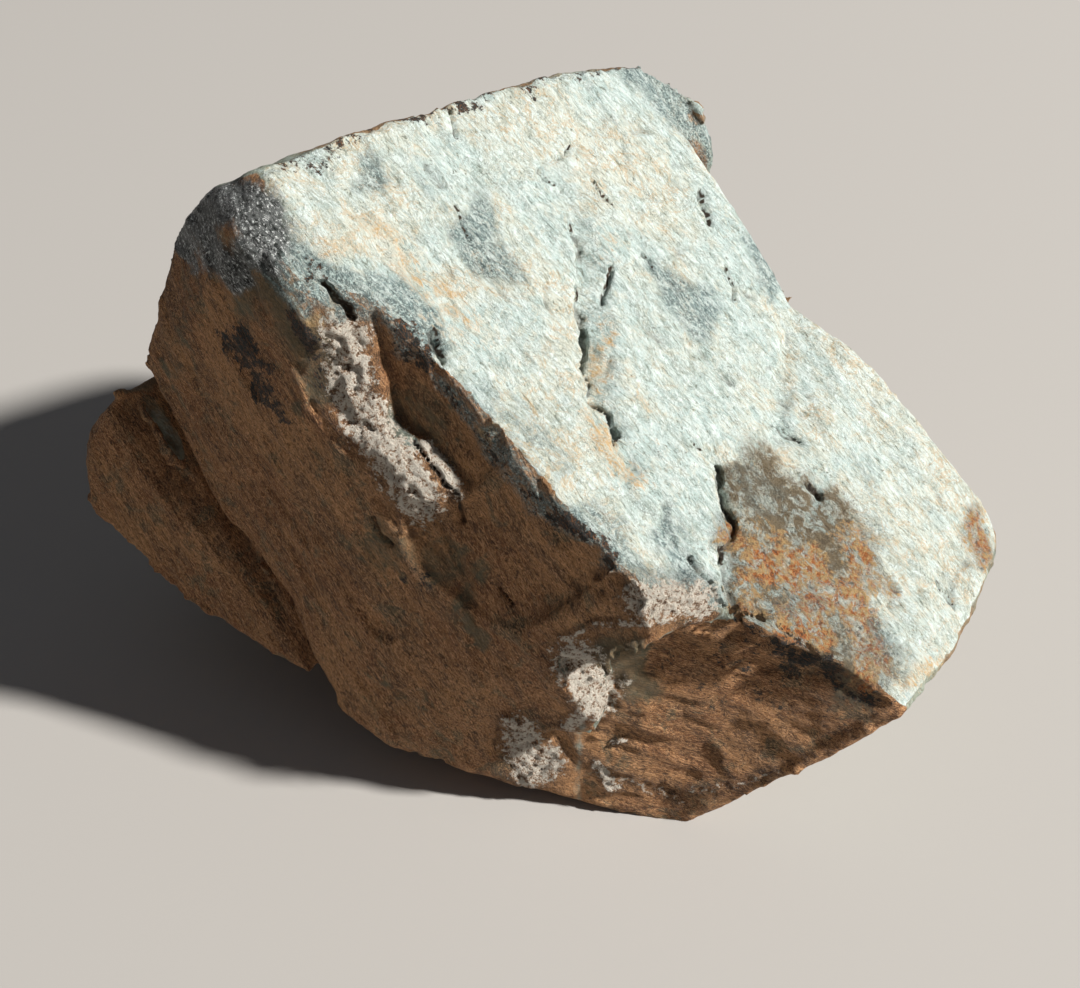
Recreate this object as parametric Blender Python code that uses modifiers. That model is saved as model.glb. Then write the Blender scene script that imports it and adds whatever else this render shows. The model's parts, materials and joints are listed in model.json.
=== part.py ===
"""A raw jade boulder: one block of nephrite, broken off along flat cleavage planes.

The block stands on a flat break under its middle. +X runs along its length, +Z is up and -Y is the
weathered front. Corners and lengths are in millimetres, measured from a point near the block's middle;
CENTRE moves them so that the origin is the centre of the bounding box at the ground.
"""

import bpy
import bmesh
from mathutils import Vector

MM = 0.001
CENTRE = (-0.6, -1.2, 0.0)

VOXEL = 1.2
TRIANGLES = 9400

STONE_COLOUR = (0.42, 0.44, 0.35, 1.0)
STONE_ROUGHNESS = 0.75

# The main block: a sloping top, a weathered front and a back broken off steeply. The foot corners lie
# below the ground, where the flat break cuts them off.
BLOCK = {
    "crown_left": (-45.5, -18.5, 112),
    "front_high": (-47.7, -27.1, 104.5),
    "front_shoulder": (-45.1, -29, 101.6),
    "front_middle": (-41.6, -31.4, 97.7),
    "front_low": (-37, -34.5, 94.8),
    "crest_left": (-33, -3.3, 110),
    "crest_middle": (-19, 14.6, 107.6),
    "crest_right": (1.4, 36.6, 103.4),
    "crown_right": (18, 53, 98),
    "nub_top": (-56, -14.5, 106.5),
    "nub_left": (-61.5, -11.5, 99),
    "nub_low": (-63.5, -8, 81),
    "shoulder_left": (-72.5, -8.5, 68),
    "brow_right": (29, 38.2, 86.3),
    "waist": (45.5, 15, 67.3),
    "prow": (14, -59, 60),
    "lip": (16, -59.6, 49.2),
    "lip_right": (23.2, -56.2, 49),
    "prow_right": (32, -54, 50.5),
    "toe": (22.7, -54.2, -2),
    "toe_middle": (9.5, -51.5, 3),
    "sill": (-7, -50.5, 6),
    "sill_left": (-29.5, -45.5, 11),
    "sill_far": (-39, -38.5, 14),
    "foot_front_left": (-24, -34, -2),
    "foot_left": (-30, 6, -2),
    "foot_back": (-12, 40, -2),
    "foot_back_right": (26, 36, -2),
    "foot_right": (44, -8, -2),
    "back_left_low": (-60, 26, 26),
    "back_left_foot": (-44, 28, 2),
    "back_left_high": (-50, 8, 84),
    "back_ridge": (-14, 46, 84),
    "back_low": (-8, 57, 16),
    "back_right_low": (36, 44, 22),
    "back_right_high": (36, 38, 70),
}

# What grows out of the block: each lump is a hull of its own corners.
SHOULDER = {
    "waist": (45, 15, 67),
    "waist_inner": (20, 6, 66),
    "rim_high": (56.6, 8.9, 60.3),
    "rim_middle": (67.8, 3.2, 51.2),
    "rim_low": (77.4, -4.3, 42.4),
    "rim_end": (83.6, -8.3, 35.8),
    "tip": (85.4, -13, 32.8),
    "tip_under": (80.5, -20, 30.5),
    "keel_back": (79.2, -27.5, 29),
    "keel_middle": (73.8, -37, 29.2),
    "keel_front": (60.3, -58.8, 32.6),
    "keel_toe": (43, -58.4, 17),
    "prow_right": (32, -54, 50),
    "toe": (22.7, -54.2, -2),
    "under_right": (52, -12, 8),
    "under_back": (52, 28, 5),
    "join_high": (38, 34, 61),
    "join_low": (40, 43, 18),
    "rump_high": (60, 21, 40),
    "rump_low": (60, 30, 16),
    "tail_high": (77, 6, 31),
    "tail_low": (73, 10, 13),
    "inner": (0, 0, 40),
}
FLANGE = {
    "neck": (-79, -7, 61),
    "brow": (-84.5, -5.5, 53.5),
    "tip": (-86.7, -6.5, 47),
    "jaw": (-87.2, -8.5, 36.5),
    "keel_left": (-74, -16, 28),
    "keel_middle": (-69, -20, 23),
    "keel_right": (-59, -25.5, 20),
    "heel": (-49, -30.5, 20),
    "heel_inner": (-43.5, -34.5, 17),
    "back_high": (-66, 9, 60),
    "back_middle": (-76, 12, 42),
    "back_far": (-70, 24, 34),
    "back_low": (-66, 20, 12),
    "join_high": (-56, 13, 64),
    "join_low": (-50, 31, 8),
    "under": (-52, 2, 8),
    "inner": (-30, -10, 40),
}
CHEEK = {
    "top": (-62.8, -8, 93.5),
    "middle": (-65.8, -7, 88.5),
    "bottom": (-64.2, -7, 83.5),
    "inner_top": (-50, 0, 92),
    "inner_low": (-50, 2, 82),
    "front": (-57, -12.5, 88),
}
HIGH_SLAB = {
    "top": (19, 55, 96.5),
    "bend": (28, 55, 90.5),
    "edge": (32.8, 52.6, 84.5),
    "foot": (33.8, 49.3, 79),
    "top_back": (17, 57, 92),
    "bend_back": (26, 57.2, 85),
    "edge_back": (31.5, 55.5, 79),
    "foot_back": (32, 52.5, 72),
    "low": (30, 46, 60),
    "inner_top": (8, 46, 92),
    "inner_low": (0, 40, 60),
}
LOW_SLAB = {
    "top": (36, 26, 79),
    "bend": (38.8, 23.5, 76),
    "edge": (42.8, 21.8, 70),
    "foot": (46.5, 19, 65),
    "low": (42, 20, 40),
    "inner_top": (24, 22, 74),
    "inner_low": (20, 20, 40),
}
LUMPS = {
    "shoulder": SHOULDER,
    "flange": FLANGE,
    "cheek": CHEEK,
    "high_slab": HIGH_SLAB,
    "low_slab": LOW_SLAB,
}

# Planes that the trenches are measured on: origin, the corner to run along, a corner down the slope.
PLANES = {
    "top": ("crown_left", "crown_right", "prow"),
    "front": ("crown_left", "prow", "sill"),
    "nose": ("prow_right", "keel_front", "toe"),
    "flare": ("rim_middle", "keel_front", "prow_right"),
    "back": ("back_ridge", "back_right_high", "back_low"),
    "left": ("shoulder_left", "back_left_high", "back_left_low"),
}

# Trenches: places where pieces broke away. Each is a chain of cross-sections, and a cross-section is a
# list of points (along, down, depth) on the trench's plane. A negative depth stands above the plane.
FRONT_SLOPE = (
    ((-3, -3, -1), (0.7, 0.1, -1.5), (2, 5, -7.5)),
    ((3, -4, -4.9), (6, 0.1, -4.9), (8.8, 5.8, -8)),
    ((12, -4, -3.8), (13.4, 0.2, -3.8), (14.8, 6.5, -8)),
    ((19, -4, -3), (19.8, 0.2, -3), (21.2, 4.6, -7.8)),
    ((26, -4, -0.5), (28, 3.2, -1.5), (25, 8.3, -8)),
    ((34, -5, 0), (36.5, 8.6, -2.7), (28.3, 17.1, -8)),
    ((42, -5, 0), (42.7, 14.4, -3.8), (34.1, 18.8, -7.8)),
    ((50, -5, 0), (48.8, 12.5, -3.5), (42, 17, -7.5)),
    ((57, -5, 0), (56, 13, -3), (50.5, 19, -7)),
    ((63, -5, 0.5), (62, 14, -0.6), (58.5, 27, -5)),
    ((70, -5, 0.5), (68, 14, -0.4), (64, 30, -4.6)),
    ((80, -5, 0.4), (79.5, 14, 0), (78, 27, -3)),
    ((84, -5, 0.5), (83.5, 12, 0.4), (82, 24, -2.8)),
)
FRONT_RECESS = (
    ((26, 0, -0.2), (28, 3.2, -0.7)),
    ((35, -1, 0.4), (36.5, 8.6, -0.3)),
    ((42, -2, 0.6), (42.7, 14.4, 0)),
    ((50, -2, 0.8), (48.8, 12.5, 0.4)),
    ((60, -3, 0.8), (59.5, 12.5, 0)),
)
LIP_SLOPE = (
    ((84.5, 1, 0.8), (82, 18, -2.6)),
    ((88, 0, 1.6), (84.5, 20, -3)),
    ((93, 4, 2), (89, 24, -3)),
    ((97, 8, 2.2), (92, 27, -3)),
)
VALLEY = (
    ((0, 56, -4), (4, 63, 0), (3, 67, -8)),
    ((17, 56, -7), (18, 66, -1), (19, 72, -9)),
    ((30, 57, -8), (30, 64, -1), (31, 70, -9.5)),
    ((42, 58, -8), (42, 63.5, -0.5), (43, 70, -9.5)),
    ((52, 59, -8), (52, 65, -1), (54, 71, -9)),
    ((60, 63, -8), (60, 69, -2), (62, 73, -8)),
    ((70, 68, -7), (70, 72, -4), (72, 75, -8)),
)
TOP_TROUGH = (
    ((54, 24, 0), (54.4, 25, 0.8), (58, 27.5, -1.5)),
    ((49.2, 32.9, -1), (49.8, 33.9, 2.2), (57, 37, -1.5)),
    ((42.5, 40.6, -1), (43.2, 41.5, 3.4), (51.5, 44.5, -1.5)),
    ((39.5, 45.3, -1), (40.2, 46.1, 3.6), (48, 49, -1.5)),
    ((34.9, 51.1, -1), (35.7, 51.9, 3.2), (43, 54.5, -1.5)),
    ((32, 56.6, -1), (32.8, 57, 2), (38.5, 59, -1.5)),
    ((31.7, 65.2, 0), (32.5, 65.4, 0.6), (36.5, 66.2, -1)),
)
FLARE_SCAR = (
    ((28.5, 45, 0), (29.5, 42, 0.6), (22, 28, 0)),
    ((33, 40.5, 0), (33.5, 39.8, 1.6), (21.5, 20, 0)),
    ((41, 38.3, 0), (41.2, 37.6, 2), (26, 12, 0)),
    ((47.4, 36, 0), (47.4, 35.2, 2), (31, 7, 0)),
    ((51.8, 37.4, 0), (51.8, 36.6, 1.6), (43, 1.5, 0)),
    ((61, 34, 0), (61, 33, 1.2), (58, 5, 0)),
)
SCAR_EDGE = (
    ((28.5, 45, 0), (29.5, 43, 0.6), (28, 40, 0)),
    ((33, 40.8, 0), (33.5, 39.6, 3), (31, 35, 0)),
    ((41, 38.6, 0), (41.2, 37.4, 3.6), (39, 32, 0)),
    ((47.4, 36.2, 0), (47.4, 35, 3.2), (45, 29, 0)),
    ((51.8, 37.7, 0), (51.8, 36.4, 3), (50, 31, 0)),
    ((61, 34.3, 0), (61, 33, 1.8), (60, 29, 0)),
)
PROW_WALL = (
    ((-20.9, 24.3, -2.6), (-10.5, 32.7, -5)),
    ((-12.6, 20.7, 0.8), (-2.5, 27.3, 0.8)),
    ((-4, 12, 1), (4, 22, 1)),
)
NOSE_LOW = (
    ((-18.5, 47.5, -0.2), (-17, 54, -0.8)),
    ((-11.5, 41.5, 0.8), (-9, 60, -1.4)),
    ((-6, 38, 1), (-3, 62, -0.8)),
    ((-2.7, 28, -0.2), (8, 62, -0.3)),
    ((12, 32, 0), (14, 60, 0)),
)
NOSE_FACE = (
    ((-14.5, 15.5, 1), (-12.6, 20.7, 1.2), (-3.4, 28, 1.6)),
    ((-6.4, 5.5, 3), (-1, 30, 1.2), (2, 50, 0.2)),
    ((1, 2.2, 3.8), (6, 48, 0)),
    ((12, 1.2, 3.8), (15, 54, 0)),
    ((31, 0.5, 1), (27, 24, 0)),
)
BACK_LEDGE = (
    ((-30, 24, 0), (-28, 27, 2), (-20, 56, 0)),
    ((-4, 19, 0), (-4, 23, 4), (-2, 56, 0)),
    ((24, 26, 0), (24, 30, 4), (22, 58, 0)),
    ((48, 18, 0), (48, 22, 2), (44, 50, 0)),
)
LEFT_LEDGE = (
    ((2, 14, 0), (3, 17, 3), (4, 42, 0)),
    ((18, 22, 0), (18, 25, 5), (18, 50, 0)),
    ((36, 16, 0), (36, 19, 3), (34, 46, 0)),
)
TRENCHES = {
    "front_slope": ("front", FRONT_SLOPE),
    "front_recess": ("front", FRONT_RECESS),
    "lip_slope": ("front", LIP_SLOPE),
    "valley": ("front", VALLEY),
    "prow_wall": ("nose", PROW_WALL),
    "nose_low": ("nose", NOSE_LOW),
    "top_trough": ("top", TOP_TROUGH),
    "flare_scar": ("flare", FLARE_SCAR),
    "scar_edge": ("flare", SCAR_EDGE),
    "nose_face": ("nose", NOSE_FACE),
    "back_ledge": ("back", BACK_LEDGE),
    "left_ledge": ("left", LEFT_LEDGE),
}
CLEARANCE = 14.0

# Relief laid over the broken block: name, size and height of the noise, and its stretch along the grain.
# GRAIN_TURN tilts the grain.
RELIEF = (
    ("swell", 40.0, 2.6, (1, 1, 1)),
    ("grain", 9.0, 1.7, (3.2, 1.0, 1.0)),
    ("chips", 11.0, 1.6, (1, 1, 1)),
)
GRAIN_TURN = (0.0, 0.62, -0.45)

GROUND_BOX = (260.0, 200.0, 20.0)


def clear_scene():
    for obj in list(bpy.data.objects):
        bpy.data.objects.remove(obj)


def new_collection(name):
    collection = bpy.data.collections.new(name)
    bpy.context.scene.collection.children.link(collection)
    return collection


def place(corner):
    """A corner in metres, with the origin under the middle of the block."""
    return (Vector(corner) - Vector(CENTRE)) * MM


def hull(name, points, collection):
    """A block with flat faces through the outermost of these points."""
    bm = bmesh.new()
    for point in points:
        bm.verts.new(point)
    made = bmesh.ops.convex_hull(bm, input=bm.verts)
    unused = made["geom_interior"] + made["geom_unused"]
    inner = {item for item in unused if isinstance(item, bmesh.types.BMVert)}
    bmesh.ops.delete(bm, geom=list(inner), context="VERTS")
    bmesh.ops.recalc_face_normals(bm, faces=bm.faces)
    mesh = bpy.data.meshes.new(name)
    bm.to_mesh(mesh)
    bm.free()
    obj = bpy.data.objects.new(name, mesh)
    collection.objects.link(obj)
    return obj


def helper(obj):
    obj.hide_render = True
    obj.display_type = "WIRE"
    return obj


def plane_axes(name):
    """Origin, direction along, direction down and outward normal of a plane, from its three corners."""
    corners = {**SHOULDER, **BLOCK}
    origin, along, down = (Vector(corners[key]) for key in PLANES[name])
    run = (along - origin).normalized()
    fall = (down - origin) - run * run.dot(down - origin)
    fall.normalize()
    normal = run.cross(fall)
    if normal.dot(origin - Vector(SHOULDER["inner"])) < 0:
        normal.negate()
    return origin, run, fall, normal


def trench(name, plane, sections, collection):
    """A chain of cutters: one hull between each cross-section and the next, open to the outside."""
    origin, run, fall, normal = plane_axes(plane)
    for number in range(len(sections) - 1):
        points = []
        for along, down, depth in sections[number] + sections[number + 1]:
            foot = origin + run * along + fall * down
            points.append(place(foot - normal * depth))
            points.append(place(foot + normal * CLEARANCE))
        helper(hull(f"{name}_{number + 1}", points, collection))


def boolean_all(obj, operation, collection):
    modifier = obj.modifiers.new(collection.name, "BOOLEAN")
    modifier.operation = operation
    modifier.operand_type = "COLLECTION"
    modifier.collection = collection


def remesh(obj, name):
    modifier = obj.modifiers.new(name, "REMESH")
    modifier.mode = "VOXEL"
    modifier.voxel_size = VOXEL * MM


def relief(obj, collection):
    """Noise that lifts and lowers the skin, read along the stone's own grain."""
    for name, size, height, stretch in RELIEF:
        texture = bpy.data.textures.new(name, "VORONOI" if name == "chips" else "CLOUDS")
        texture.noise_scale = size * MM
        grain = bpy.data.objects.new(f"{name}_axes", None)
        grain.rotation_euler = GRAIN_TURN
        grain.scale = stretch
        collection.objects.link(helper(grain))
        modifier = obj.modifiers.new(name, "DISPLACE")
        modifier.texture = texture
        modifier.texture_coords = "OBJECT"
        modifier.texture_coords_object = grain
        modifier.mid_level = 0.5
        modifier.strength = height * MM


def decimate(obj):
    """Keep about TRIANGLES faces, with the fewest where the stone is flat."""
    bpy.context.view_layer.update()
    evaluated = obj.evaluated_get(bpy.context.evaluated_depsgraph_get())
    mesh = evaluated.to_mesh()
    mesh.calc_loop_triangles()
    count = len(mesh.loop_triangles)
    evaluated.to_mesh_clear()
    modifier = obj.modifiers.new("decimate", "DECIMATE")
    modifier.ratio = TRIANGLES / count


def flat_base(obj, collection):
    """The flat break that the stone stands on: everything below the ground is cut off."""
    bpy.ops.mesh.primitive_cube_add(size=1)
    ground = bpy.context.active_object
    ground.name = "ground"
    width, length, depth = GROUND_BOX
    for vertex in ground.data.vertices:
        vertex.co = Vector((vertex.co.x * width, vertex.co.y * length, (vertex.co.z - 0.5) * depth)) * MM
    for owner in ground.users_collection:
        owner.objects.unlink(ground)
    collection.objects.link(helper(ground))
    modifier = obj.modifiers.new("flat_base", "BOOLEAN")
    modifier.operation = "DIFFERENCE"
    modifier.object = ground


def stone_material():
    material = bpy.data.materials.new("weathered nephrite")
    material.use_nodes = True
    shader = material.node_tree.nodes["Principled BSDF"]
    shader.inputs["Base Color"].default_value = STONE_COLOUR
    shader.inputs["Roughness"].default_value = STONE_ROUGHNESS
    shader.inputs["Metallic"].default_value = 0.0
    return material


def main():
    clear_scene()
    parts = new_collection("jade boulder")
    lumps = new_collection("lumps")
    trenches = new_collection("trenches")
    guides = new_collection("guides")
    boulder = hull("jade_boulder", [place(corner) for corner in BLOCK.values()], parts)
    boulder.data.materials.append(stone_material())
    for name, corners in LUMPS.items():
        helper(hull(name, [place(corner) for corner in corners.values()], lumps))
    for name, (plane, sections) in TRENCHES.items():
        trench(name, plane, sections, trenches)
    boolean_all(boulder, "UNION", lumps)
    boolean_all(boulder, "DIFFERENCE", trenches)
    remesh(boulder, "skin")
    relief(boulder, guides)
    remesh(boulder, "clean_skin")
    decimate(boulder)
    flat_base(boulder, guides)


main()
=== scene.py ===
import json
import math

import bpy
import numpy as np
from mathutils import Matrix, Vector, noise

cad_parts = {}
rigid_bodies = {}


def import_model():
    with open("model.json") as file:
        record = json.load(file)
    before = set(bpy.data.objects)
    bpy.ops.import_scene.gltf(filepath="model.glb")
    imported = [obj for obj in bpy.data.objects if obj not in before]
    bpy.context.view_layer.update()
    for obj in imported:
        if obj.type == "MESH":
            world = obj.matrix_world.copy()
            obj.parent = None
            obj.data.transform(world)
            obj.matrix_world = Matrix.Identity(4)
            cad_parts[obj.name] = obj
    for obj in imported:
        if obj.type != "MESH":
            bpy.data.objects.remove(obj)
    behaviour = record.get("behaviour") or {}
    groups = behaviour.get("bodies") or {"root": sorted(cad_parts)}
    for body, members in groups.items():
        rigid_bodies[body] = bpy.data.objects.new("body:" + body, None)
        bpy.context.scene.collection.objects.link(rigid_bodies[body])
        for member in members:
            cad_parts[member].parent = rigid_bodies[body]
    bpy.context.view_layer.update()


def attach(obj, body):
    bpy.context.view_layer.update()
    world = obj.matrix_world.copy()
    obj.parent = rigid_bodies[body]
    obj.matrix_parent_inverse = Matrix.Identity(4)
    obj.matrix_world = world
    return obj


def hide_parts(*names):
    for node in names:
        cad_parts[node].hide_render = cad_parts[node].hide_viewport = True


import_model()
bpy.ops.object.select_all(action="DESELECT")

mm = 0.001
middle = (-0.6, -1.2, 0.0)  # corner tables are measured from here


def toMetres(point):
    return (Vector(point) - Vector(middle)) * mm


def selectOnly(obj):
    bpy.ops.object.select_all(action="DESELECT")
    obj.select_set(True)
    bpy.context.view_layer.objects.active = obj


def newCollection(name):
    collection = bpy.data.collections.new(name)
    bpy.context.scene.collection.children.link(collection)
    return collection


def moveTo(obj, collection):
    for owner in list(obj.users_collection):
        owner.objects.unlink(obj)
    collection.objects.link(obj)


# ---- camera, light and floor

view = {"target": (-0.0010, -0.0143, 0.045), "distance": 0.322, "elevation": 38, "fieldOfView": 34}
light = {
    "keyAzimuth": -14.5, "keyElevation": 37, "keyDistance": 6.0, "keySize": 0.42, "keyPower": 716,
    "keyColour": (1.0, 0.975, 0.94),
    "skyColour": (0.86, 0.88, 0.96), "skyStrength": 0.10,
}
floor = {"width": 6.0, "colour": (0.465, 0.445, 0.418, 1)}


def addCamera():
    tilt = math.radians(view["elevation"])
    back = Vector((0, -math.cos(tilt), math.sin(tilt)))
    bpy.ops.object.camera_add(location=Vector(view["target"]) + back * view["distance"],
                              rotation=(math.radians(90) - tilt, 0, 0))
    camera = bpy.context.active_object
    camera.data.angle = math.radians(view["fieldOfView"])
    camera.data.clip_start = 0.01
    bpy.context.scene.camera = camera


def addLights():
    azimuth, elevation = math.radians(light["keyAzimuth"]), math.radians(light["keyElevation"])
    towards = Vector((math.cos(elevation) * math.cos(azimuth), math.cos(elevation) * math.sin(azimuth),
                      math.sin(elevation)))
    bpy.ops.object.light_add(type="AREA", location=towards * light["keyDistance"] + Vector((0, 0, 0.04)))
    key = bpy.context.active_object
    key.data.shape = "DISK"
    key.data.size = light["keySize"]
    key.data.energy = light["keyPower"]
    key.data.color = light["keyColour"]
    key.rotation_euler = towards.to_track_quat("Z", "Y").to_euler()
    world = bpy.data.worlds.new("studio")
    bpy.context.scene.world = world
    world.use_nodes = True
    world.node_tree.nodes["Background"].inputs["Color"].default_value = (*light["skyColour"], 1)
    world.node_tree.nodes["Background"].inputs["Strength"].default_value = light["skyStrength"]


def addFloor():
    bpy.ops.mesh.primitive_plane_add(size=floor["width"])
    ground = bpy.context.active_object
    ground.name = "floor"
    paint = bpy.data.materials.new("pale floor")
    paint.use_nodes = True
    shader = paint.node_tree.nodes["Principled BSDF"]
    shader.inputs["Base Color"].default_value = floor["colour"]
    shader.inputs["Roughness"].default_value = 0.9
    ground.data.materials.append(paint)


addCamera()
addLights()
addFloor()
bpy.context.scene.view_settings.view_transform = "Standard"
print("camera, light and floor")

# ---- the stone's main block and the lumps on it: every one is a hull of its corners, in millimetres

corners = {
    "block": {
        "crownLeft": (-45.5, -18.5, 112), "frontHigh": (-47.7, -27.1, 104.5),
        "frontShoulder": (-45.1, -29, 101.6), "frontMiddle": (-41.6, -31.4, 97.7),
        "frontLow": (-37, -34.5, 94.8), "crestLeft": (-33, -3.3, 110), "crestMiddle": (-19, 14.6, 107.6),
        "crestRight": (1.4, 36.6, 103.4), "crownRight": (18, 53, 98), "nubTop": (-56, -14.5, 106.5),
        "nubLeft": (-61.5, -11.5, 99), "nubLow": (-63.5, -8, 81), "shoulderLeft": (-72.5, -8.5, 68),
        "browRight": (29, 38.2, 86.3), "waist": (45.5, 15, 67.3), "prow": (14, -59, 60),
        "lip": (16, -59.6, 49.2), "lipRight": (23.2, -56.2, 49), "prowRight": (32, -54, 50.5),
        "toe": (22.7, -54.2, -2), "toeMiddle": (9.5, -51.5, 3), "sill": (-7, -50.5, 6),
        "sillLeft": (-29.5, -45.5, 11), "sillFar": (-39, -38.5, 14), "footFrontLeft": (-24, -34, -2),
        "footLeft": (-30, 6, -2), "footBack": (-12, 40, -2), "footBackRight": (26, 36, -2),
        "footRight": (44, -8, -2), "backLeftLow": (-60, 26, 26), "backLeftFoot": (-44, 28, 2),
        "backLeftHigh": (-50, 8, 84), "backRidge": (-14, 46, 84), "backLow": (-8, 57, 16),
        "backRightLow": (36, 44, 22), "backRightHigh": (36, 38, 70),
    },
    "shoulder": {
        "waist": (45, 15, 67), "waistInner": (20, 6, 66), "rimHigh": (56.6, 8.9, 60.3),
        "rimMiddle": (67.8, 3.2, 51.2), "rimLow": (77.4, -4.3, 42.4), "rimEnd": (83.6, -8.3, 35.8),
        "tip": (85.4, -13, 32.8), "tipUnder": (80.5, -20, 30.5), "keelBack": (79.2, -27.5, 29),
        "keelMiddle": (73.8, -37, 29.2), "keelFront": (60.3, -58.8, 32.6), "keelToe": (43, -58.4, 17),
        "prowRight": (32, -54, 50), "toe": (22.7, -54.2, -2), "underRight": (52, -12, 8),
        "underBack": (52, 28, 5), "joinHigh": (38, 34, 61), "joinLow": (40, 43, 18),
        "rumpHigh": (60, 21, 40), "rumpLow": (60, 30, 16), "tailHigh": (77, 6, 31), "tailLow": (73, 10, 13),
        "inner": (0, 0, 40),
    },
    "flange": {
        "neck": (-79, -7, 61), "brow": (-84.5, -5.5, 53.5), "tip": (-86.7, -6.5, 47), "jaw": (-87.2, -8.5, 36.5),
        "keelLeft": (-74, -16, 28), "keelMiddle": (-69, -20, 23), "keelRight": (-59, -25.5, 20),
        "heel": (-49, -30.5, 20), "heelInner": (-43.5, -34.5, 17), "backHigh": (-66, 9, 60),
        "backMiddle": (-76, 12, 42), "backFar": (-70, 24, 34), "backLow": (-66, 20, 12),
        "joinHigh": (-56, 13, 64), "joinLow": (-50, 31, 8), "under": (-52, 2, 8), "inner": (-30, -10, 40),
    },
    "cheek": {
        "top": (-62.8, -8, 93.5), "middle": (-65.8, -7, 88.5), "bottom": (-64.2, -7, 83.5),
        "innerTop": (-50, 0, 92), "innerLow": (-50, 2, 82), "front": (-57, -12.5, 88),
    },
    "highSlab": {
        "top": (19, 55, 96.5), "bend": (28, 55, 90.5), "edge": (32.8, 52.6, 84.5), "foot": (33.8, 49.3, 79),
        "topBack": (17, 57, 92), "bendBack": (26, 57.2, 85), "edgeBack": (31.5, 55.5, 79), "footBack": (32, 52.5, 72),
        "low": (30, 46, 60), "innerTop": (8, 46, 92), "innerLow": (0, 40, 60),
    },
    "lowSlab": {
        "top": (36, 26, 79), "bend": (38.8, 23.5, 76), "edge": (42.8, 21.8, 70), "foot": (46.5, 19, 65),
        "low": (42, 20, 40), "innerTop": (24, 22, 74), "innerLow": (20, 20, 40),
    },
}

# faces to measure on: origin, the corner to run along, a corner down the slope
faces = {
    "top": ("crownLeft", "crownRight", "prow"),
    "front": ("crownLeft", "prow", "sill"),
    "nose": ("prowRight", "keelFront", "toe"),
    "flare": ("rimMiddle", "keelFront", "prowRight"),
    "back": ("backRidge", "backRightHigh", "backLow"),
    "left": ("shoulderLeft", "backLeftHigh", "backLeftLow"),
}

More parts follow.
